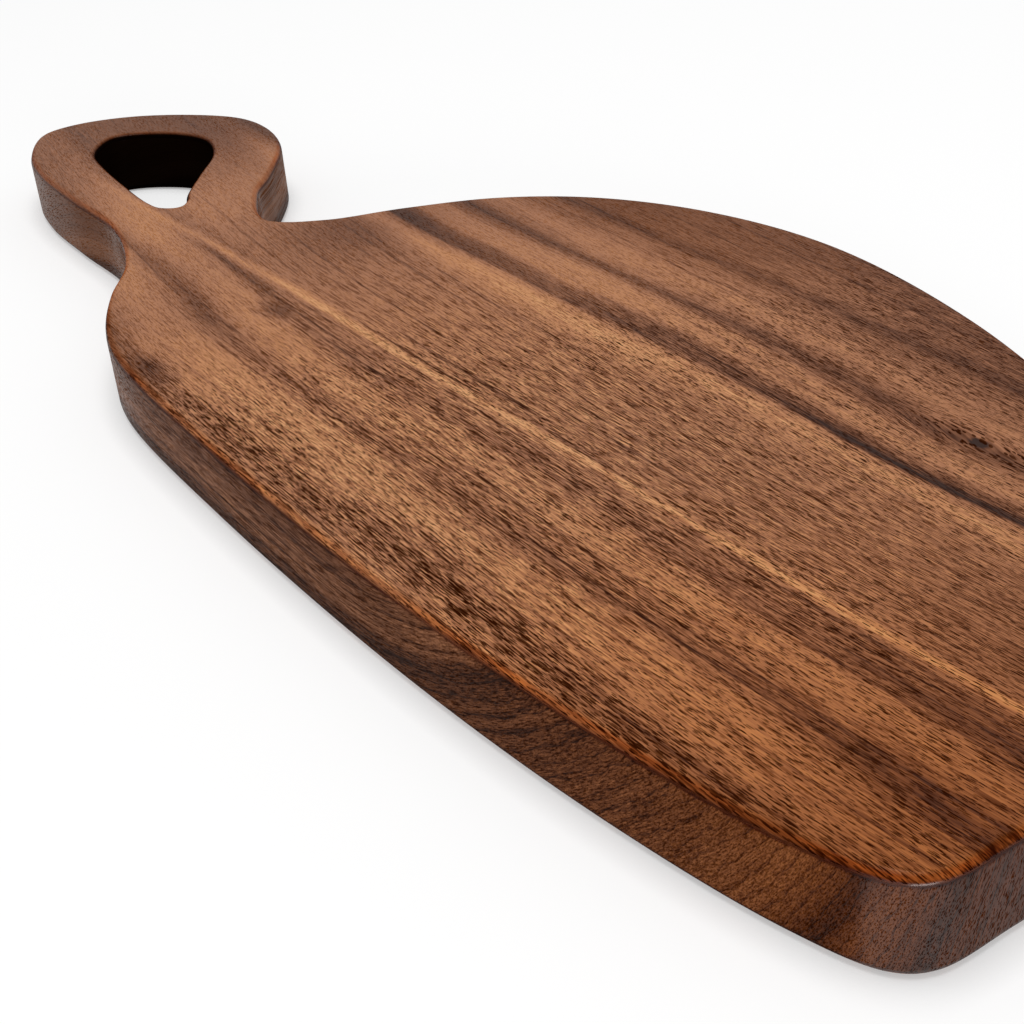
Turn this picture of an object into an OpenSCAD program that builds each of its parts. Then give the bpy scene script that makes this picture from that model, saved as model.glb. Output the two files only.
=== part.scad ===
// Paddle charcuterie board, shaped from one plank of walnut
//
// The outline is free-form: a loop handle leans to one side of a blade whose
// right side swells early and whose left side stays nearly straight. Walls are
// upright, and every edge, the hand hole's too, is eased with one small radius.
//
// Units are millimetres. +X runs along the grain from the handle's tip to the
// front edge, +Y points to the swelling side, +Z is up from the table. The
// origin is the middle of the underside's bounding box.

/* [Board] */
// Overall length, handle tip to front edge
board_len = 490; // [450:1:540]
// Greatest width of the blade
body_w = 195; // [170:1:225]
// Thickness of the plank
board_t = 22; // [16:0.5:28]
// Radius that eases the top, bottom and hole edges
edge_r = 2.5; // [1:0.25:3.5]

/* [Handle] */
// Length of the handle, tip to neck
handle_len = 150; // [135:1:165]
// Greatest width of the loop
handle_w = 87; // [78:1:100]
// How far the loop's centre line lies left of the blade's
loop_shift = 5; // [0:1:12]
// Width across the neck
neck_w = 51; // [42:1:60]
// How far the neck's centre lies left of the blade's centre line
neck_shift = 35; // [28:1:38]

/* [Hand hole] */
// Wood between the handle's tip and the hole
tip_rim = 29; // [22:1:36]
// Wood between the hole's narrow end and the neck
neck_rim = 34; // [28:1:42]
// Wood left of the hole
left_rim = 18; // [14:1:23]
// Wood right of the hole, at its widest place
right_rim = 25; // [20:1:31]

/* [Hidden] */

walnut = "#7a4a2c";

// Facets per quarter turn of the eased edge, and curve steps between two outline points
edge_steps = 3;
curve_steps = 6;

body_len = board_len - handle_len;
hole_len = handle_len - tip_rim - neck_rim;
hole_w = handle_w - left_rim - right_rim;

// Loop of the handle: x as a share of handle_len from the tip, y as a share of
// half of handle_w from the loop's centre line. Left flank, tip first.
loop_left_shares = [
    [0, -0.17], [0.015, -0.50], [0.155, -0.81], [0.32, -0.95], [0.535, -1], [0.79, -1.035]
];
// Right flank, neck first
loop_right_shares = [
    [0.83, 0.12], [0.74, 0.40], [0.57, 0.83], [0.42, 0.99], [0.295, 0.96], [0.16, 0.68], [0.05, 0.27]
];
// Blade: x as a share of body_len from the neck, y as a share of half of body_w.
// Left side, from the neck to the front edge.
blade_left_shares = [
    [0.055, -0.755], [0.115, -0.865], [0.18, -0.935], [0.365, -0.985], [0.62, -1],
    [0.80, -0.965], [0.925, -0.90], [0.975, -0.84], [0.99, -0.775], [0.995, -0.60]
];
// Right side, from the middle of the front edge back to the neck
blade_right_shares = [
    [0.998, -0.35], [0.998, -0.10], [0.98, 0.10], [0.925, 0.32], [0.795, 0.595], [0.61, 0.875],
    [0.425, 1], [0.29, 0.94], [0.185, 0.775], [0.115, 0.55], [0.07, 0.275], [0.04, 0.035]
];
// Hand hole, a rounded triangle: shares of hole_len and hole_w from its tip-left corner.
// The left flank runs first, to the narrow end, and the right flank comes back.
hole_left_shares = [
    [0, 0.48], [0.075, 0.285], [0.165, 0.18], [0.30, 0.12], [0.60, 0.045], [0.87, 0.005], [0.96, 0.03]
];
hole_right_shares = [
    [1, 0.115], [0.965, 0.21], [0.89, 0.295], [0.725, 0.56], [0.53, 0.875], [0.34, 1],
    [0.175, 0.905], [0.03, 0.645]
];

function loop_point(share) =
    [handle_len * share.x, handle_w / 2 * share.y - loop_shift];
function blade_point(share) =
    [handle_len + body_len * share.x, body_w / 2 * share.y];
function hole_point(share) =
    [tip_rim + hole_len * share.x, left_rim - handle_w / 2 - loop_shift + hole_w * share.y];
function neck_point(side) =
    [handle_len, side * neck_w / 2 - neck_shift];

outline_points = concat(
    [for (s = loop_left_shares) loop_point(s)],
    [neck_point(-1)],
    [for (s = blade_left_shares) blade_point(s)],
    [for (s = blade_right_shares) blade_point(s)],
    [neck_point(1)],
    [for (s = loop_right_shares) loop_point(s)]
);
hole_points = concat(
    [for (s = hole_left_shares) hole_point(s)],
    [for (s = hole_right_shares) hole_point(s)]
);

// Centripetal Catmull-Rom curve: the slope at a point weighs its two chords by
// the square roots of their lengths, so close and wide spacing blend smoothly
function knot_gap(a, b) = sqrt(norm(b - a));
function slope_at(before, here, after) =
    let (t0 = knot_gap(before, here), t1 = knot_gap(here, after))
    (here - before) / t0 - (after - before) / (t0 + t1) + (after - here) / t1;
function hermite(a, b, slope_a, slope_b, u) =
    (2 * u ^ 3 - 3 * u ^ 2 + 1) * a + (u ^ 3 - 2 * u ^ 2 + u) * slope_a
    + (3 * u ^ 2 - 2 * u ^ 3) * b + (u ^ 3 - u ^ 2) * slope_b;
function closed_curve(points) =
    let (count = len(points))
    [
        for (i = [0 : count - 1])
            let (
                a = points[(i + count - 1) % count],
                b = points[i],
                c = points[(i + 1) % count],
                d = points[(i + 2) % count],
                gap = knot_gap(b, c),
                slope_b = gap * slope_at(a, b, c),
                slope_c = gap * slope_at(b, c, d)
            )
            for (k = [0 : curve_steps - 1])
                hermite(b, c, slope_b, slope_c, k / curve_steps)
    ];

raw_outline = closed_curve(outline_points);
centre = [
    (min([for (p = raw_outline) p.x]) + max([for (p = raw_outline) p.x])) / 2,
    (min([for (p = raw_outline) p.y]) + max([for (p = raw_outline) p.y])) / 2
];
outline = [for (p = raw_outline) p - centre];
hole = [for (p = closed_curve(hole_points)) p - centre];

// A counterclockwise ring moved inwards by a distance, square to itself
function inset(ring, distance) =
    let (count = len(ring))
    [
        for (i = [0 : count - 1])
            let (
                chord = ring[(i + 1) % count] - ring[(i + count - 1) % count],
                outward = [chord.y, -chord.x] / norm(chord)
            )
            ring[i] - distance * outward
    ];

// Edge section from the underside up: [how far in from the wall, height]
edge_section = concat(
    [for (i = [0 : edge_steps]) let (a = 90 * i / edge_steps)
        [edge_r * (1 - sin(a)), edge_r * (1 - cos(a))]],
    [for (i = [0 : edge_steps]) let (a = 90 * i / edge_steps)
        [edge_r * (1 - cos(a)), board_t - edge_r * (1 - sin(a))]]
);

function level(ring, height) = [for (p = ring) [p.x, p.y, height]];

// Two triangles for each field between neighbouring rings of a wall. The rings
// start at point `first` and hold `count` points each.
function wall_faces(first, count, levels, facing_out) =
    [
        for (l = [0 : levels - 2], i = [0 : count - 1])
            let (
                a = first + l * count + i,
                b = first + l * count + (i + 1) % count,
                c = b + count,
                d = a + count
            )
            for (face = facing_out ? [[a, d, c], [a, c, b]] : [[a, c, d], [a, b, c]])
                face
    ];

// Triangles that fill the ribbon between two chains of point numbers, always
// taking the shorter of the two next diagonals. From above, chain `b` lies left of `a`.
function ribbon_faces(points, a, b, i = 0, j = 0) =
    let (more_a = i < len(a) - 1, more_b = j < len(b) - 1)
    !more_a && !more_b ? [] :
    let (
        diagonal_a = more_a ? norm(points[a[i + 1]] - points[b[j]]) : 0,
        diagonal_b = more_b ? norm(points[a[i]] - points[b[j + 1]]) : 0,
        step_a = !more_b || (more_a && diagonal_a <= diagonal_b)
    )
    step_a
        ? concat([[a[i], b[j], a[i + 1]]], ribbon_faces(points, a, b, i + 1, j))
        : concat([[a[i], b[j], b[j + 1]]], ribbon_faces(points, a, b, i, j + 1));
function flipped(faces) = [for (f = faces) [f[2], f[1], f[0]]];

// The flat face around the hole at one level of the rings: the loop's left limb,
// its right limb, the neck and the blade are one ribbon each
function cap_faces(points, outer_first, hole_first) =
    let (
        outer_count = len(outline),
        hole_count = len(hole),
        left_of_neck = curve_steps * len(loop_left_shares),
        front = left_of_neck + curve_steps * (1 + len(blade_left_shares)),
        right_of_neck = front + curve_steps * len(blade_right_shares),
        narrow_end = curve_steps * len(hole_left_shares)
    )
    concat(
        ribbon_faces(
            points,
            [for (i = [0 : left_of_neck]) outer_first + i],
            [for (j = [0 : narrow_end]) hole_first + j]
        ),
        ribbon_faces(
            points,
            [for (j = [hole_count : -1 : narrow_end]) hole_first + j % hole_count],
            [for (i = [outer_count : -1 : right_of_neck]) outer_first + i % outer_count]
        ),
        ribbon_faces(
            points,
            [outer_first + left_of_neck],
            [hole_first + narrow_end, outer_first + right_of_neck]
        ),
        ribbon_faces(
            points,
            [for (i = [left_of_neck : front]) outer_first + i],
            [for (i = [right_of_neck : -1 : front]) outer_first + i]
        )
    );

module board() {
    levels = len(edge_section);
    top = levels - 1;
    hole_first = levels * len(outline);
    points = concat(
        [for (e = edge_section) each level(inset(outline, e[0]), e[1])],
        [for (e = edge_section) each level(inset(hole, -e[0]), e[1])]
    );
    color(walnut)
        polyhedron(
            points = points,
            faces = concat(
                wall_faces(0, len(outline), levels, true),
                wall_faces(hole_first, len(hole), levels, false),
                flipped(cap_faces(points, 0, hole_first)),
                cap_faces(points, top * len(outline), hole_first + top * len(hole))
            )
        );
}

board();
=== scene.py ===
# Paddle charcuterie board of oiled black walnut, lying on a white studio table.
# Lengths are written in millimetres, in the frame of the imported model.

import math

import bmesh
import bpy
import numpy as np
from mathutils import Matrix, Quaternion, Vector


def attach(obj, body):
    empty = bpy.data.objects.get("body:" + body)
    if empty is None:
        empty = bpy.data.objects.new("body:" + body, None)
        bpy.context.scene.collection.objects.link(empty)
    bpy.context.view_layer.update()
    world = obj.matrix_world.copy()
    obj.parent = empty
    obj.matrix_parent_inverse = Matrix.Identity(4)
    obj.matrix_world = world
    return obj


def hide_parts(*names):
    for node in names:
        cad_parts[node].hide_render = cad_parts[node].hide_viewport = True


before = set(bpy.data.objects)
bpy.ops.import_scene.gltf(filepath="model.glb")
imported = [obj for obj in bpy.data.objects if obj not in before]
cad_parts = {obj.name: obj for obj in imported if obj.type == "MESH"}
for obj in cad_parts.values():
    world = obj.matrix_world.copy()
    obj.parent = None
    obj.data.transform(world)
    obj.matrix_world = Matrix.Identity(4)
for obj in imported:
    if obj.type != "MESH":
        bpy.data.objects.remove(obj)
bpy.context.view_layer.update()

# The board
# One plank of black walnut, bandsawn to a free outline round a loop handle, its
# walls sanded upright and every edge eased by hand before the oil went on.

mm = 0.001

board_len = 490
body_w = 195
board_t = 22
edge_r = 2.5
handle_len = 150
handle_w = 87
loop_shift = 5
neck_w = 51
neck_shift = 35
tip_rim = 29
neck_rim = 34
left_rim = 18
right_rim = 25

# Outline, counterclockwise from the handle's tip: shares of the loop's length and
# half width, and of the blade's length and half width, as in the solid
loop_left_shares = [
    (0, -0.17), (0.015, -0.50), (0.155, -0.81), (0.32, -0.95), (0.535, -1), (0.79, -1.035),
]
loop_right_shares = [
    (0.83, 0.12), (0.74, 0.40), (0.57, 0.83), (0.42, 0.99), (0.295, 0.96), (0.16, 0.68), (0.05, 0.27),
]
blade_left_shares = [
    (0.055, -0.755), (0.115, -0.865), (0.18, -0.935), (0.365, -0.985), (0.62, -1),
    (0.80, -0.965), (0.925, -0.90), (0.975, -0.84), (0.99, -0.775), (0.995, -0.60),
]
blade_right_shares = [
    (0.998, -0.35), (0.998, -0.10), (0.98, 0.10), (0.925, 0.32), (0.795, 0.595), (0.61, 0.875),
    (0.425, 1), (0.29, 0.94), (0.185, 0.775), (0.115, 0.55), (0.07, 0.275), (0.04, 0.035),
]
# Hand hole, from the tip: shares of its length and width
hole_shares = [
    (0, 0.48), (0.075, 0.285), (0.165, 0.18), (0.30, 0.12), (0.60, 0.045), (0.87, 0.005), (0.96, 0.03),
    (1, 0.115), (0.965, 0.21), (0.89, 0.295), (0.725, 0.56), (0.53, 0.875), (0.34, 1),
    (0.175, 0.905), (0.03, 0.645),
]

ring_steps = 20
edge_steps = 8
level_strip = 0.4


def smooth_ring(points, steps):
    """A closed curve through the points, with `steps` samples to a span.

    Each span is the cubic Hermite curve whose end slopes are those of the
    centripetal Catmull-Rom spline: chords weighted by the roots of their lengths.
    """
    after = np.roll(points, -1, axis=0)
    before = np.roll(points, 1, axis=0)

    def root_length(chord):
        return np.sqrt(np.linalg.norm(chord, axis=1, keepdims=True))

    last = root_length(points - before)
    coming = root_length(after - points)
    slope = (points - before) / last - (after - before) / (last + coming) + (after - points) / coming
    start = coming * slope
    end = coming * np.roll(slope, -1, axis=0)
    u = (np.arange(steps) / steps)[:, None, None]
    ring = (
        (2 * u**3 - 3 * u**2 + 1) * points
        + (u**3 - 2 * u**2 + u) * start
        + (3 * u**2 - 2 * u**3) * after
        + (u**3 - u**2) * end
    )
    return ring.transpose(1, 0, 2).reshape(-1, 2)


def swept_wall(ring, section, side):
    """The edge section carried round a ring, as a grid of points and its quads.

    Point (i, k) is ring point i, moved by side * section[k, 0] against the ring's
    outward normal, at height section[k, 1].
    """
    chord = np.roll(ring, -1, axis=0) - np.roll(ring, 1, axis=0)
    outward = np.stack([chord[:, 1], -chord[:, 0]], axis=1) / np.linalg.norm(chord, axis=1, keepdims=True)
    flat = ring[:, None] - side * section[None, :, :1] * outward[:, None]
    height = np.broadcast_to(section[None, :, 1:], (*flat.shape[:2], 1))
    points = np.concatenate([flat, height], axis=2).reshape(-1, 3)
    index = np.arange(len(points)).reshape(len(ring), len(section))
    beside = np.roll(index, -1, axis=0)
    quads = np.stack([index[:, :-1], beside[:, :-1], beside[:, 1:], index[:, 1:]], axis=2).reshape(-1, 4)
    return points, quads


loop_half = np.array([handle_len, handle_w / 2])
blade_half = np.array([board_len - handle_len, body_w / 2])
loop_corner = np.array([0, -loop_shift])
blade_corner = np.array([handle_len, 0])
hole_size = np.array([handle_len - tip_rim - neck_rim, handle_w - left_rim - right_rim])
hole_corner = np.array([tip_rim, left_rim - handle_w / 2 - loop_shift])
outline = smooth_ring(
    np.concatenate([
        loop_corner + loop_half * loop_left_shares,
        [(handle_len, -neck_w / 2 - neck_shift)],
        blade_corner + blade_half * blade_left_shares,
        blade_corner + blade_half * blade_right_shares,
        [(handle_len, neck_w / 2 - neck_shift)],
        loop_corner + loop_half * loop_right_shares,
    ]),
    ring_steps,
)
hole = smooth_ring(hole_corner + hole_size * hole_shares, ring_steps)
middle = (outline.min(axis=0) + outline.max(axis=0)) / 2

# A quarter circle at each edge, and a narrow strip inside it that keeps the shading
# of the flat faces level up to the edge
turn = np.linspace(0, math.pi / 2, edge_steps + 1)
ease = np.stack([edge_r * (1 - np.sin(turn)), edge_r * (1 - np.cos(turn))], axis=1)
ease = np.concatenate([[(edge_r + level_strip, 0)], ease])
section = np.concatenate([ease, (ease * (1, -1) + (0, board_t))[::-1]])

outer_points, outer_quads = swept_wall(outline - middle, section, 1)
hole_points, hole_quads = swept_wall(hole - middle, section, -1)
points = np.concatenate([outer_points, hole_points]) * mm
quads = np.concatenate([outer_quads, hole_quads[:, ::-1] + len(outer_points)])

# The two flat faces are filled in between the rims of the walls
board_mesh = bpy.data.meshes.new("board")
board_mesh.from_pydata(points.tolist(), [], quads.tolist())
shell = bmesh.new()
shell.from_mesh(board_mesh)
for height in (0, board_t * mm):
    rim = [e for e in shell.edges if e.is_boundary and abs(e.verts[0].co.z - height) < edge_r * mm / 2]
    bmesh.ops.triangle_fill(shell, use_beauty=True, edges=rim)
bmesh.ops.recalc_face_normals(shell, faces=shell.faces)
shell.to_mesh(board_mesh)
shell.free()
board_mesh.polygons.foreach_set("use_smooth", [True] * len(board_mesh.polygons))
board = bpy.data.objects.new("walnut_board", board_mesh)
bpy.context.collection.objects.link(board)


def linear(hex_colour):
    """An sRGB hex colour as linear red, green, blue and 1."""
    shares = [int(hex_colour[i : i + 2], 16) / 255 for i in (1, 3, 5)]
    return (*[c / 12.92 if c <= 0.04045 else ((c + 0.055) / 1.055) ** 2.4 for c in shares], 1)


def add_node(tree, kind, inputs=None, output=0, **settings):
    """Adds a node, sets its properties, fills its inputs with values or links, and gives one output."""
    made = tree.nodes.new("ShaderNode" + kind)
    for name, value in settings.items():
        setattr(made, name, value)
    for name, value in (inputs or {}).items():
        if isinstance(value, bpy.types.NodeSocket):
            tree.links.new(value, made.inputs[name])
        else:
            made.inputs[name].default_value = value
    return made.outputs[output]


def lay_points(socket, low, high, table):
    """Lays a table of (place, value) out on the colour ramp or float curve that a socket comes from.

    A place is a number from low to high, and the table runs upwards. A ramp's value
    is a colour, and a curve's a number from 0 to 1.
    """
    made = socket.node
    if hasattr(made, "color_ramp"):
        stops = made.color_ramp.elements
        for _ in table[2:]:
            stops.new(0.5)
        for stop, (at, colour) in zip(stops, table):
            stop.position = (at - low) / (high - low)
            stop.color = colour
    else:
        stops = made.mapping.curves[0].points
        for _ in table[2:]:
            stops.new(0.5, 0.5)
        for stop, (at, value) in zip(stops, table):
            stop.location = ((at - low) / (high - low), value)
        made.mapping.update()


# Black walnut: chocolate brown heartwood with darker streaks, open pores that show as
# short dark dashes along the grain and as specks where it is cut across. Wiping oil
# deepens it and leaves a satin film. Shade and light on the eased edges, and the shade in
# the hand hole, are painted into the colour.
walnut = bpy.data.materials.new("oiled black walnut")
walnut.use_nodes = True
tree = walnut.node_tree
tree.nodes.clear()

surface = add_node(tree, "TexCoord").node
place = add_node(tree, "VectorMath", {0: surface.outputs["Object"], "Scale": 1 / mm}, operation="SCALE")
x, y, z = add_node(tree, "SeparateXYZ", {0: place}).node.outputs

# How far up or down the surface faces: 1 on the flat faces, 0 on the upright walls
faces_up = add_node(tree, "SeparateXYZ", {0: surface.outputs["Normal"]}, output="Z")
faces_up = add_node(tree, "Math", {0: faces_up}, operation="ABSOLUTE")
on_wall = add_node(
    tree, "MapRange", {"Value": faces_up, "From Min": 0.5, "From Max": 0.3}, interpolation_type="SMOOTHSTEP"
)

# How far the grain has wandered sideways, in mm, at each x: fibres and colour bands,
# on the left and on the right half. The board is 490 long, so x stays within 250.
reach = 250
fall_span = 80
along = add_node(tree, "MapRange", {"Value": x, "From Min": -reach, "From Max": reach})
right_half = add_node(
    tree, "MapRange", {"Value": y, "From Min": -35, "From Max": 15}, interpolation_type="SMOOTHSTEP"
)
falls = {
    "left fibres": [
        (-250, 33), (-90, 8), (-45, 2.5), (0, 0), (75, -2), (150, -4), (195, -4), (250, -2.5),
    ],
    "right fibres": [
        (-250, 31), (-60, 6), (0, 0), (50, -4.8), (100, -9.8), (150, -15.5), (200, -20), (250, -23),
    ],
    "left bands": [
        (-250, 28), (-93, 8), (-67, 6), (-33, 1.5), (0, 0), (100, 0), (250, 0),
    ],
    "right bands": [
        (-250, 24), (-67, 3), (0, 0), (70, -0.3), (100, -1.9), (120, -3), (150, -5.2), (185, -5.6),
        (250, -6),
    ],
}
fallen = {}
for name, table in falls.items():
    fallen[name] = add_node(tree, "FloatCurve", {"Value": along})
    lay_points(fallen[name], -reach, reach, [(at, fall / fall_span + 0.5) for at, fall in table])

# A Mix node's inputs go by number: 0 is the share, 2 and 3 are numbers, 4 and 5 are
# vectors, 6 and 7 are colours
across = {}
for name in ("fibres", "bands"):
    share = add_node(tree, "Mix", {0: right_half, 2: fallen["left " + name], 3: fallen["right " + name]})
    fall = add_node(
        tree, "MapRange", {"Value": share, "To Min": -fall_span / 2, "To Max": fall_span / 2}, clamp=False
    )
    across[name] = add_node(tree, "Math", {0: y, 1: fall}, operation="SUBTRACT")

# On the walls the growth rings run level along the blade's side and stand up more and
# more towards the end grain. `wall_round` follows the wall, in mm, from the handle's
# tip over the left side to the front. Tables over it give the rings' angle in degrees,
# and how much the pattern is drawn together lengthwise.
front_corner_y = 30
wall_round = add_node(tree, "Math", {0: y, 1: front_corner_y}, operation="SUBTRACT")
wall_round = add_node(tree, "Math", {0: wall_round}, operation="ABSOLUTE")
wall_round = add_node(tree, "Math", {0: x, 1: wall_round}, operation="SUBTRACT")
round_min = -360
round_max = 260
round_share = add_node(tree, "MapRange", {"Value": wall_round, "From Min": round_min, "From Max": round_max})
ring_angles = np.array([
    (-360, 75), (-300, 60), (-260, 20), (-200, 0), (-40, 0), (-17, 8), (3, 16), (23, 27), (50, 34),
    (70, 39), (95, 47), (115, 57), (148, 70), (185, 80), (260, 82),
])
crowding_table = np.array([
    (-360, 1.5), (-260, 1.2), (-60, 1.2), (0, 2), (50, 4), (125, 5), (150, 2), (260, 1.5),
])

# From them come the distances along and across the rings at the underside, counted from
# `ring_start`, and how much each of the two grows with every mm of height
ring_start = -50
curve_points = 24
round_at = np.linspace(round_min, round_max, 311)
round_step = round_at[1] - round_at[0]
started = np.searchsorted(round_at, ring_start)
angle = np.radians(np.interp(round_at, ring_angles[:, 0], ring_angles[:, 1]))
crowding = np.interp(round_at, crowding_table[:, 0], crowding_table[:, 1])
level_run = np.cumsum(np.cos(angle) * crowding) * round_step
level_fall = -np.cumsum(np.sin(angle)) * round_step
wall_curves = {
    "level run": (level_run - level_run[started], 600),
    "level fall": (level_fall - level_fall[started], 400),
    "rise run": (np.sin(angle) * crowding, 4),
    "rise across": (np.cos(angle), 1),
}
picks = np.linspace(0, len(round_at) - 1, curve_points).round().astype(int)
wall_value = {}
for name, (values, span) in wall_curves.items():
    curve = add_node(tree, "FloatCurve", {"Value": round_share})
    lay_points(curve, 0, len(round_at) - 1, [(i, values[i] / (2 * span) + 0.5) for i in picks])
    wall_value[name] = add_node(
        tree, "MapRange", {"Value": curve, "To Min": -span, "To Max": span}, clamp=False
    )
wall_along = add_node(
    tree, "Math", {0: z, 1: wall_value["rise run"], 2: wall_value["level run"]}, operation="MULTIPLY_ADD"
)
wall_across = add_node(
    tree, "Math", {0: z, 1: wall_value["rise across"], 2: wall_value["level fall"]}, operation="MULTIPLY_ADD"
)


def spot(at, size):
    """1 at a place on the board, falling smoothly to 0 at the rim of an ellipse of that size round it."""
    away = add_node(tree, "VectorMath", {0: place, 1: (*at, 0)}, operation="SUBTRACT")
    away = add_node(tree, "VectorMath", {0: away, 1: (2 / size[0], 2 / size[1], 0)}, operation="MULTIPLY")
    away = add_node(tree, "VectorMath", {0: away}, output="Value", operation="LENGTH")
    return add_node(
        tree, "MapRange", {"Value": away, "From Min": 1.0, "From Max": 0.0}, interpolation_type="SMOOTHSTEP"
    )


# A small knot in the right half: the fibres part round it and close again behind it
knot_at = (156, 35)
knot_size = (70, 26)
eye_size = (8, 5)
knot = spot(knot_at, knot_size)
off_knot = add_node(tree, "Math", {0: y, 1: knot_at[1]}, operation="SUBTRACT")
parting = add_node(tree, "Math", {0: off_knot, 1: knot}, operation="MULTIPLY")
for name, share in (("fibres", -0.8), ("bands", -0.2)):
    across[name] = add_node(tree, "Math", {0: parting, 1: share, 2: across[name]}, operation="MULTIPLY_ADD")

# The grain's own frame: along it, across it, and into the wood. The eased edge cuts a
# little deeper into the pattern, and the walls show a part of it from further down.
edge_tilt = 0.4
edge_depth = 0.3
wall_depth = 40
face_across = add_node(tree, "Math", {0: z, 1: edge_tilt, 2: across["fibres"]}, operation="MULTIPLY_ADD")
face_depth = add_node(tree, "Math", {0: z, 1: edge_depth}, operation="MULTIPLY")
face_grain = add_node(tree, "CombineXYZ", {"X": x, "Y": face_across, "Z": face_depth})
wall_grain = add_node(tree, "CombineXYZ", {"X": wall_along, "Y": wall_across, "Z": wall_depth})
grain = add_node(tree, "Mix", {0: on_wall, 4: face_grain, 5: wall_grain}, output=1, data_type="VECTOR")

# Noise drawn out along the grain, with the length and width of its cells in mm; its
# mean is 0.5. Walnut's single fibres are a few hundredths of a millimetre wide, too fine
# to show, so the last two stand for bundles of them, drawn 0.3 and 0.4 wide.
noise_mean = 0.5
noises = {}
for name, length, width in (
    ("drift", 120, 22),
    ("zone", 30, 4),
    ("vein", 110, 1.5),
    ("ripple", 60, 2.4),
    ("fibre", 7.5, 0.42),
    ("thread", 8, 0.3),
):
    drawn = add_node(
        tree, "VectorMath", {0: grain, 1: (1 / length, 1 / width, 1 / width)}, operation="MULTIPLY"
    )
    noises[name] = add_node(tree, "TexNoise", {"Vector": drawn, "Scale": 1.0, "Detail": 1.0})

# Darkness of the colour bands across the face, in mm from the middle, left edge first:
# 0 is golden, 1 is the black of the darkest streak. They waver by 5 mm to either side.
band_reach = 110
waver = 5
wavy = add_node(tree, "MapRange", {"Value": noises["drift"], "To Min": -waver, "To Max": waver})
band_at = add_node(tree, "Math", {0: across["bands"], 1: wavy}, operation="ADD")
band_share = add_node(
    tree, "MapRange", {"Value": band_at, "From Min": -band_reach, "From Max": band_reach}
)
bands = [
    (-96, 0.38), (-92, 0.54), (-87, 0.54), (-82, 0.38), (-74, 0.26), (-68, 0.34), (-63.5, 0.60), (-60, 0.46),
    (-54, 0.32), (-49, 0.38), (-44, 0.62), (-38.5, 0.52), (-36, 0.46), (-33.5, 0.43), (-22, 0.46), (3, 0.46),
    (8, 0.38), (14, 0.20), (18, 0.40), (19.5, 0.76), (23, 0.70), (25.5, 0.58), (27.5, 0.36), (34, 0.36),
    (39.5, 0.76), (44, 0.50), (50, 0.38), (54, 0.48), (62, 0.58), (65.5, 0.78), (70, 0.64), (90, 0.71),
]
face_bands = add_node(tree, "ValToRGB", {0: band_share})
lay_points(face_bands, -band_reach, band_reach, [(at, (dark, dark, dark, 1)) for at, dark in bands])

# Up the handle the bands fade into a tone that only deepens from left to right
faint = add_node(
    tree, "MapRange", {"Value": x, "From Min": -190, "From Max": -120, "To Min": 0.25, "To Max": 1}
)
handle_tone = add_node(
    tree, "MapRange", {"Value": y, "From Min": -40, "From Max": 30, "To Min": 0.41, "To Max": 0.67}
)
face_tone = add_node(tree, "Mix", {0: faint, 2: handle_tone, 3: face_bands})

# Along the plank the wood is darker at the tip and at the front
deepening = [
    (-250, 0.14), (-190, 0.12), (-150, 0.02), (-120, -0.05), (-90, 0.03), (-60, 0.06), (-25, 0.02),
    (20, -0.05), (100, 0.0), (190, 0.04), (222, 0.12), (250, 0.22),
]
tone_along = add_node(tree, "FloatCurve", {"Value": along})
lay_points(tone_along, -reach, reach, [(at, 0.5 + shade) for at, shade in deepening])
face_tone = add_node(tree, "Math", {0: face_tone, 1: tone_along}, operation="ADD")
face_tone = add_node(tree, "Math", {0: face_tone, 1: 0.5}, operation="SUBTRACT")

# Smudges that are darker or paler than their band: middle and size in mm, and change
# in darkness. The last one is the black eye of the knot.
smudges = [
    ((-28, -45), (24, 14), 0.26),
    ((-18, -87), (36, 16), 0.25),
    ((-25, -44), (110, 40), -0.09),
    ((-66, 12), (70, 80), 0.17),
    ((222, -71), (76, 30), 0.13),
    ((-45, -66), (70, 44), 0.08),
    ((75, 74), (90, 40), -0.07),
    (knot_at, eye_size, 0.8),
]
for at, size, change in smudges:
    smudge = spot(at, size)
    face_tone = add_node(tree, "Math", {0: smudge, 1: change, 2: face_tone}, operation="MULTIPLY_ADD")

# Past the middle the black streak thins out to one sharp line with a paler side
thinning = add_node(tree, "FloatCurve", {"Value": along})
lay_points(thinning, -reach, reach, [(-250, 0), (95, 0), (140, 1), (185, 1), (225, 0), (250, 0)])
for at, width, change in ((20, 1.8, 0.36), (25.5, 3.5, -0.15)):
    streak_off = add_node(tree, "Math", {0: across["bands"], 1: at}, operation="SUBTRACT")
    streak_off = add_node(tree, "Math", {0: streak_off}, operation="ABSOLUTE")
    streak = add_node(
        tree, "MapRange", {"Value": streak_off, "From Min": width, "From Max": 0, "To Max": change}
    )
    face_tone = add_node(tree, "Math", {0: streak, 1: thinning, 2: face_tone}, operation="MULTIPLY_ADD")

# One pale growth ring runs nearly straight from the neck, where it is wider and fades
# out, to the front. It wavers half as much as the bands.
pale_at = -34
pale_off = add_node(
    tree, "MapRange", {"Value": noises["drift"], "To Min": -waver / 2, "To Max": waver / 2}
)
pale_off = add_node(tree, "Math", {0: y, 1: pale_off}, operation="ADD")
pale_off = add_node(tree, "Math", {0: pale_off, 1: pale_at}, operation="SUBTRACT")
pale_off = add_node(tree, "Math", {0: pale_off}, operation="ABSOLUTE")
pale_width = add_node(
    tree, "MapRange", {"Value": x, "From Min": -60, "From Max": 40, "To Min": 3.4, "To Max": 1.9}
)
pale_ring = add_node(tree, "MapRange", {"Value": pale_off, "From Min": pale_width, "From Max": 0.3})
pale_share = add_node(
    tree, "MapRange", {"Value": x, "From Min": -195, "From Max": -80, "To Min": 0, "To Max": -0.36}
)
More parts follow.
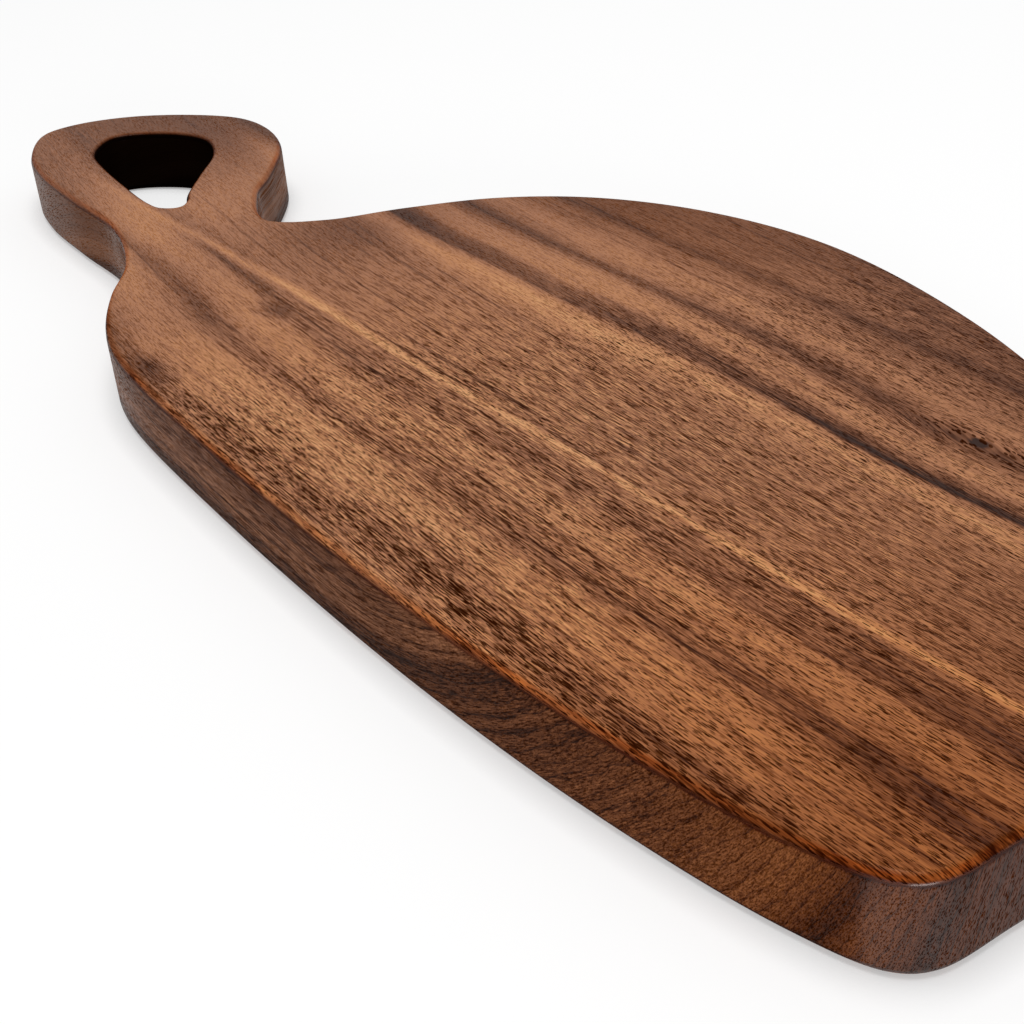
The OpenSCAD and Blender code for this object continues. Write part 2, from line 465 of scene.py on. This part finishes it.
face_tone = add_node(tree, "Math", {0: pale_ring, 1: pale_share, 2: face_tone}, operation="MULTIPLY_ADD")

# Darkness of the growth rings on the walls, in mm across them. The walls darken towards
# the end grain at the front.
wall_low = -220
wall_high = 25
wall_rings = [
    (-200, 0.66), (-130, 0.70), (-112, 0.66), (-100, 0.70), (-92, 0.70), (-87, 0.84), (-82, 0.72),
    (-76, 0.64), (-70, 0.64), (-65, 0.86), (-60, 0.66), (-54, 0.52), (-44, 0.54), (-34, 0.62), (-22, 0.64),
    (-12, 0.72), (-5, 0.66), (-1, 0.78), (2.5, 0.86), (5, 0.78), (7.5, 0.54), (12, 0.52), (14.5, 0.62),
    (18, 0.66), (25, 0.66),
]
wall_share = add_node(tree, "MapRange", {"Value": wall_across, "From Min": wall_low, "From Max": wall_high})
wall_bands = add_node(tree, "ValToRGB", {0: wall_share})
lay_points(wall_bands, wall_low, wall_high, [(at, (dark, dark, dark, 1)) for at, dark in wall_rings])
end_grain = add_node(
    tree,
    "MapRange",
    {"Value": wall_round, "From Min": 120, "From Max": 160, "To Min": 0.025, "To Max": 0.185},
)
wall_tone = add_node(tree, "Math", {0: wall_bands, 1: end_grain}, operation="ADD")
darkness = add_node(tree, "Mix", {0: on_wall, 2: face_tone, 3: wall_tone})

# How lively the fibres are, as a share: along the plank, across it and round the walls
lively_table = [
    (-250, 0.3), (-150, 0.3), (-90, 0.34), (-35, 0.55), (25, 0.95), (60, 1.0), (130, 0.85), (230, 0.6),
]
lively_along = add_node(tree, "FloatCurve", {"Value": along})
lay_points(lively_along, -reach, reach, lively_table)
lively_across = add_node(
    tree, "MapRange", {"Value": y, "From Min": -10, "From Max": 30, "To Min": 1.0, "To Max": 0.48}
)
lively_round_table = [
    (-360, 0.25), (-215, 0.3), (-127, 0.6), (0, 0.65), (50, 0.75), (90, 0.65), (140, 0.6), (170, 0.35),
    (260, 0.35),
]
lively_round = add_node(tree, "FloatCurve", {"Value": round_share})
lay_points(lively_round, round_min, round_max, lively_round_table)
lively_wall = add_node(tree, "Mix", {0: on_wall, 2: 1.0, 3: lively_round})

# The finest threads and pores are crispest at the middle and the front of the face, and
# melt together at the back. Places of equal crispness run askew to the plank.
crisp_table = [
    (-250, 0.6), (-120, 0.6), (-50, 0.45), (-20, 0.5), (20, 0.95), (60, 1.7), (110, 1.7), (160, 1.75),
    (200, 1.05), (250, 1.0),
]
crisp_max = 2
askew = 0.35
pivot_y = -40
crisp_at = add_node(tree, "Math", {0: y, 1: pivot_y}, operation="SUBTRACT")
crisp_at = add_node(tree, "Math", {0: crisp_at, 1: -askew, 2: x}, operation="MULTIPLY_ADD")
crisp_at = add_node(tree, "MapRange", {"Value": crisp_at, "From Min": -reach, "From Max": reach})
crisp = add_node(tree, "FloatCurve", {"Value": crisp_at})
lay_points(crisp, -reach, reach, [(at, share / crisp_max) for at, share in crisp_table])
crisp = add_node(tree, "Math", {0: crisp, 1: crisp_max}, operation="MULTIPLY")
crisp = add_node(tree, "Mix", {0: on_wall, 2: crisp, 3: 1.0})

# What the fibres add to the darkness or take from it. `fibre_mean` comes off again, so
# that the wood as a whole keeps its tone.
fibre_mean = 0.07
fibre_tone = add_node(
    tree, "MapRange", {"Value": noises["fibre"], "From Min": 0.5, "From Max": 0.64, "To Max": 0.27}
)
thread = add_node(tree, "Math", {0: noises["thread"], 1: noise_mean}, operation="SUBTRACT")
thread = add_node(tree, "Math", {0: thread, 1: crisp}, operation="MULTIPLY")
fibre_tone = add_node(tree, "Math", {0: thread, 1: 1.1, 2: fibre_tone}, operation="MULTIPLY_ADD")
for name, amount in (("ripple", 0.18), ("fibre", 0.25)):
    about_zero = add_node(tree, "Math", {0: noises[name], 1: noise_mean}, operation="SUBTRACT")
    fibre_tone = add_node(tree, "Math", {0: about_zero, 1: amount, 2: fibre_tone}, operation="MULTIPLY_ADD")
fibre_tone = add_node(tree, "Math", {0: fibre_tone, 1: fibre_mean}, operation="SUBTRACT")
for share in (lively_along, lively_wall, lively_across):
    fibre_tone = add_node(tree, "Math", {0: fibre_tone, 1: share}, operation="MULTIPLY")
darkness = add_node(tree, "Math", {0: darkness, 1: fibre_tone}, operation="ADD")

# On the walls each growth ring ends in a thin dark line, about every 3.6 mm
ring_spacing = 3.6
ring_count = add_node(
    tree, "Math", {0: wall_across, 1: 1 / ring_spacing, 2: noises["zone"]}, operation="MULTIPLY_ADD"
)
ring_share = add_node(tree, "Math", {0: ring_count}, operation="FRACT")
ring_line = add_node(
    tree, "MapRange", {"Value": ring_share, "From Min": 0, "From Max": 0.2, "To Min": 0.3, "To Max": 0}
)
for share in (on_wall, lively_wall, lively_across):
    ring_line = add_node(tree, "Math", {0: ring_line, 1: share}, operation="MULTIPLY")
darkness = add_node(tree, "Math", {0: darkness, 1: ring_line}, operation="ADD")

# Long dark veins where the fibres lie close
veins = add_node(
    tree, "MapRange", {"Value": noises["vein"], "From Min": 0.6, "From Max": 0.72, "To Max": 0.3}
)
for share in (lively_wall, lively_across, lively_along):
    veins = add_node(tree, "Math", {0: veins, 1: share}, operation="MULTIPLY")
darkness = add_node(tree, "Math", {0: darkness, 1: veins}, operation="ADD")

# The wood's colours, from golden to black
tones = add_node(tree, "ValToRGB", {0: darkness})
lay_points(
    tones,
    0,
    1,
    [
        (0, linear("#cf9766")), (0.2, linear("#ba7f54")), (0.42, linear("#9f6a4a")),
        (0.6, linear("#7a4b2f")), (0.8, linear("#552e17")), (1, linear("#2b1307")),
    ],
)

# Pores: a dark slit in each cell of a pattern drawn out along the grain, with the
# cells' length and width in mm. Real ones are 0.1 to 0.2 mm wide, too fine to show, so
# they are drawn about 0.25 wide. They crowd in some growth rings, most of all in one
# near the left edge.
crowd = add_node(
    tree,
    "MapRange",
    {"Value": noises["zone"], "From Min": 0.35, "From Max": 0.65, "To Min": 0.165, "To Max": 0.245},
)
crowded_ring_at = -88.5
ring_off = add_node(tree, "Math", {0: across["bands"], 1: crowded_ring_at}, operation="SUBTRACT")
ring_off = add_node(tree, "Math", {0: ring_off}, operation="ABSOLUTE")
ring_crowd = add_node(tree, "MapRange", {"Value": ring_off, "From Min": 5, "From Max": 3, "To Max": 0.08})
crowd = add_node(tree, "Math", {0: crowd, 1: ring_crowd}, operation="ADD")
pores = 0.0
for length, width in ((6.5, 0.62), (3.4, 0.52)):
    drawn = add_node(tree, "VectorMath", {0: grain, 1: (1 / length, 1 / width, 1)}, operation="MULTIPLY")
    from_slit = add_node(
        tree, "TexVoronoi", {"Vector": drawn, "Scale": 1.0}, output="Distance", voronoi_dimensions="2D"
    )
    inside = add_node(tree, "Math", {0: crowd, 1: from_slit}, operation="SUBTRACT")
    slit = add_node(tree, "MapRange", {"Value": inside, "From Min": 0.0, "From Max": 0.04})
    pores = add_node(tree, "Math", {0: slit, 1: pores}, operation="MAXIMUM")

# They show less on the right half, on the handle and on the walls, and unevenly
fewer_right = add_node(
    tree, "MapRange", {"Value": y, "From Min": -10, "From Max": 30, "To Min": 0.95, "To Max": 0.55}
)
fewer_back = add_node(
    tree, "MapRange", {"Value": x, "From Min": -120, "From Max": 20, "To Min": 0.25, "To Max": 1.0}
)
uneven = add_node(
    tree,
    "MapRange",
    {"Value": noises["fibre"], "From Min": 0.35, "From Max": 0.55, "To Min": 0.6, "To Max": 1.0},
)
shallow = add_node(tree, "MapRange", {"Value": on_wall, "To Min": 1.0, "To Max": 0.8})
shallow = add_node(tree, "Math", {0: shallow, 1: lively_wall}, operation="MULTIPLY")
pore_dark = add_node(tree, "Math", {0: fewer_right, 1: fewer_back}, operation="MULTIPLY")
pore_dark = add_node(tree, "Math", {0: pores, 1: pore_dark}, operation="MULTIPLY")
pore_dark = add_node(tree, "Math", {0: pore_dark, 1: crisp}, operation="MULTIPLY", use_clamp=True)
for share in (uneven, shallow):
    pore_dark = add_node(tree, "Math", {0: pore_dark, 1: share}, operation="MULTIPLY")
wood = add_node(tree, "Mix", {0: pore_dark, 6: tones, 7: linear("#2c1003")}, output=2, data_type="RGBA")

# The front left part is a warmer orange brown
warm_x = add_node(tree, "MapRange", {"Value": x, "From Min": 110, "From Max": 235})
warm_y = add_node(tree, "MapRange", {"Value": y, "From Min": 20, "From Max": -60})
warmth = add_node(tree, "Math", {0: warm_x, 1: warm_y}, operation="MULTIPLY")
warm = add_node(
    tree, "Mix", {0: warmth, 6: linear("#ffffff"), 7: linear("#fce0ac")}, output=2, data_type="RGBA"
)
wood = add_node(
    tree, "Mix", {0: 1.0, 6: wood, 7: warm}, output=2, data_type="RGBA", blend_type="MULTIPLY"
)

# The hand hole's inner wall is painted nearly black: painted shade for the dark inside of the hole
hole_at = (-180, -8)
round_hole = (118, 74)
in_hole = spot(hole_at, round_hole)
in_hole = add_node(tree, "MapRange", {"Value": in_hole, "From Min": 0.0, "From Max": 0.05})
hole_wall = add_node(tree, "MapRange", {"Value": faces_up, "From Min": 0.97, "From Max": 0.7})
painted_hole_shade = add_node(tree, "Math", {0: in_hole, 1: hole_wall}, operation="MULTIPLY")
painted_hole_shade = add_node(tree, "Math", {0: painted_hole_shade, 1: 0.98}, operation="MULTIPLY")
wood = add_node(tree, "Mix", {0: painted_hole_shade, 6: wood, 7: linear("#050201")}, output=2, data_type="RGBA")

# Painted shade and light on the eased edge, in patches. Where it meets the wall it is
# painted darker and redder, a painted shade line, and the shoulder just above that gets a
# painted orange glow. For its upper and its lower rim a row gives how far up the surface
# faces where the tint starts and where it is full.
patchy = add_node(
    tree,
    "MapRange",
    {"Value": noises["zone"], "From Min": 0.38, "From Max": 0.6, "To Min": 0.45, "To Max": 1.0},
)
for upper_rim, lower_rim, shading_tint in (
    ((0.74, 0.48), (0.12, 0.34), "#8c5430"),
    ((0.985, 0.85), (0.45, 0.7), "#f0cba6"),
):
    edge = 1.0
    for start, full in (upper_rim, lower_rim):
        inside = add_node(
            tree,
            "MapRange",
            {"Value": faces_up, "From Min": start, "From Max": full},
            interpolation_type="SMOOTHSTEP",
        )
        edge = add_node(tree, "Math", {0: edge, 1: inside}, operation="MULTIPLY")
    edge = add_node(tree, "Math", {0: edge, 1: patchy}, operation="MULTIPLY")
    painted_edge_shading = add_node(
        tree, "Mix", {0: edge, 6: linear("#ffffff"), 7: linear(shading_tint)}, output=2, data_type="RGBA"
    )
    wood = add_node(
        tree, "Mix", {0: 1.0, 6: wood, 7: painted_edge_shading}, output=2, data_type="RGBA", blend_type="MULTIPLY"
    )

# Pores are little hollows and duller than the wood between them
pore_depth = 0.12
relief = add_node(tree, "Math", {0: noises["thread"], 1: 0.1}, operation="MULTIPLY")
relief = add_node(tree, "Math", {0: relief, 1: pores}, operation="SUBTRACT")
bump = add_node(tree, "Bump", {"Height": relief, "Strength": 0.5, "Distance": pore_depth * mm})
dull = add_node(tree, "MapRange", {"Value": pores, "To Min": 0.55, "To Max": 0.8})

# Wiping leaves the oil film on the flat, in broad spots, and takes it off the shoulder
film_flat = 0.25
for at, size, change in (((130, -20), (200, 110), 0.07), ((10, 75), (200, 80), -0.08)):
    wiped = spot(at, size)
    film_flat = add_node(tree, "Math", {0: wiped, 1: change, 2: film_flat}, operation="MULTIPLY_ADD")
film_shoulder = add_node(
    tree, "MapRange", {"Value": x, "From Min": -150, "From Max": -60, "To Min": 0.2, "To Max": 0.05}
)
film_face = add_node(
    tree,
    "MapRange",
    {"Value": faces_up, "From Min": 0.95, "From Max": 1.0, "To Min": film_shoulder, "To Max": film_flat},
)

# Hands polish the loop's walls, and the end grain at the front holds more film than the
# long sides do. The right side, turned away from the light, has an even film.
film_right = 0.2
film_table = [
    (-360, 0.38), (-260, 0.35), (-230, 0.18), (-215, 0.25), (-200, 0.42), (-180, 0.45), (-127, 0.22),
    (-60, 0.16), (100, 0.15), (112, 0.18), (118, 0.3), (124, 0.85), (134, 0.85), (144, 0.5), (180, 0.6),
    (260, 0.5),
]
film_wall = add_node(tree, "FloatCurve", {"Value": round_share})
lay_points(film_wall, round_min, round_max, film_table)
right_side = add_node(tree, "MapRange", {"Value": y, "From Min": -10, "From Max": 20})
film_wall = add_node(tree, "Mix", {0: right_side, 2: film_wall, 3: film_right})
side_film = add_node(
    tree, "MapRange", {"Value": faces_up, "From Min": 0.62, "From Max": 0.5}, interpolation_type="SMOOTHSTEP"
)
film = add_node(tree, "Mix", {0: side_film, 2: film_face, 3: film_wall})

# Pores and dark fibres drink the film up, and the film is taken off the hand hole's wall, where its shade is
# painted in
unfilled = add_node(tree, "MapRange", {"Value": pores, "To Min": 1.0, "To Max": 0.0})
thirsty = add_node(
    tree, "MapRange", {"Value": fibre_tone, "From Min": 0.05, "From Max": 0.25, "To Min": 1.0, "To Max": 0.1}
)
outside_hole_shade = add_node(tree, "Math", {0: 1.0, 1: painted_hole_shade}, operation="SUBTRACT")
for share in (unfilled, thirsty, outside_hole_shade):
    film = add_node(tree, "Math", {0: film, 1: share}, operation="MULTIPLY")
shader = add_node(
    tree,
    "BsdfPrincipled",
    {
        "Base Color": wood,
        "Roughness": dull,
        "Normal": bump,
        "IOR": 1.5,
        "Specular IOR Level": 0.0,
        "Coat Weight": film,
        "Coat Roughness": 0.2,
    },
)
walnut_output = tree.nodes.new("ShaderNodeOutputMaterial")
tree.links.new(shader, walnut_output.inputs["Surface"])
board_mesh.materials.append(walnut)

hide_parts("board")
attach(board, "root")

# The table
# A matt white tabletop. The camera sees it lit up to white, and the board's own
# contact shadow stays on it.

table_r = 6000
table_gap = 0.05
table_mesh = bpy.data.meshes.new("table")
around = np.linspace(0, 2 * math.pi, 96, endpoint=False)
rim = np.stack([np.cos(around), np.sin(around), np.zeros_like(around)], axis=1) * table_r * mm
rim[:, 2] = -table_gap * mm
table_mesh.from_pydata(rim.tolist(), [], [list(range(len(rim)))])
table = bpy.data.objects.new("table", table_mesh)
bpy.context.collection.objects.link(table)


def seen_share(tree):
    """1 on rays from the camera, also after a reflection or through glass, and 0 on those that light."""
    ray = add_node(tree, "LightPath").node
    seen = 0.0
    for kind in ("Is Camera Ray", "Is Glossy Ray", "Is Transmission Ray"):
        seen = add_node(tree, "Math", {0: seen, 1: ray.outputs[kind]}, operation="MAXIMUM")
    return seen


paper = bpy.data.materials.new("matt white tabletop")
paper.use_nodes = True
paper_tree = paper.node_tree
paper_tree.nodes.clear()
table_place = add_node(paper_tree, "TexCoord", output="Object")
away = add_node(paper_tree, "VectorMath", {0: table_place}, output="Value", operation="LENGTH")
glow = add_node(
    paper_tree, "MapRange", {"Value": away, "From Min": 0.6, "From Max": 3, "To Min": 0.375, "To Max": 0.76}
)
glow = add_node(paper_tree, "Math", {0: seen_share(paper_tree), 1: glow}, operation="MULTIPLY")
matt = add_node(paper_tree, "BsdfDiffuse", {"Color": linear("#d0d0d0")})
lit = add_node(paper_tree, "Emission", {"Color": linear("#ffffff"), "Strength": glow})
both = add_node(paper_tree, "AddShader", {0: matt, 1: lit})
paper_output = paper_tree.nodes.new("ShaderNodeOutputMaterial")
paper_tree.links.new(both, paper_output.inputs["Surface"])
table_mesh.materials.append(paper)

# Light
# A large soft panel overhead, a low lamp in front of the near corner, and an even
# pale room.

world = bpy.data.worlds.new("pale room")
world.use_nodes = True
bpy.context.scene.world = world
room_tree = world.node_tree
room_tree.nodes.clear()
strength = add_node(room_tree, "MapRange", {"Value": seen_share(room_tree), "To Min": 0.4, "To Max": 1.0})
pale = add_node(room_tree, "Background", {"Color": linear("#ffffff"), "Strength": strength})
room_output = room_tree.nodes.new("ShaderNodeOutputWorld")
room_tree.links.new(pale, room_output.inputs["Surface"])

panel = bpy.data.lights.new("overhead panel", "AREA")
panel.shape = "SQUARE"
panel.size = 1.6
panel.energy = 45
panel_object = bpy.data.objects.new("overhead panel", panel)
panel_object.location = (0.05, 0.0, 2.7)
bpy.context.collection.objects.link(panel_object)

lamp = bpy.data.lights.new("low side lamp", "AREA")
lamp.shape = "RECTANGLE"
lamp.size = 0.9
lamp.size_y = 0.25
lamp.energy = 6
lamp_object = bpy.data.objects.new("low side lamp", lamp)
lamp_object.location = (1.5, -0.66, 0.3)
lamp_object.rotation_mode = "QUATERNION"
lamp_object.rotation_quaternion = (-lamp_object.location).to_track_quat("-Z", "Y")
bpy.context.collection.objects.link(lamp_object)

# Camera
# Close to the front left corner, at the photograph's height and angle, rolled a
# few degrees, with the board's front right corner outside the picture.

camera_at = Vector((359.24, -228.67, 204.02)) * mm
camera_to = Vector((76.9, -40.0, 0)) * mm
camera_roll = 4.896
lens_px = 1619.2
picture_px = 1024

camera = bpy.data.cameras.new("camera")
camera.sensor_width = 36
camera.lens = lens_px / picture_px * camera.sensor_width
camera.clip_start = 0.01
camera_object = bpy.data.objects.new("camera", camera)
camera_object.location = camera_at
ahead = (camera_to - camera_at).normalized()
rolled = Quaternion(ahead, math.radians(camera_roll))
camera_object.rotation_mode = "QUATERNION"
camera_object.rotation_quaternion = rolled @ ahead.to_track_quat("-Z", "Y")
bpy.context.collection.objects.link(camera_object)
bpy.context.scene.camera = camera_object
bpy.context.scene.view_settings.view_transform = "Standard"
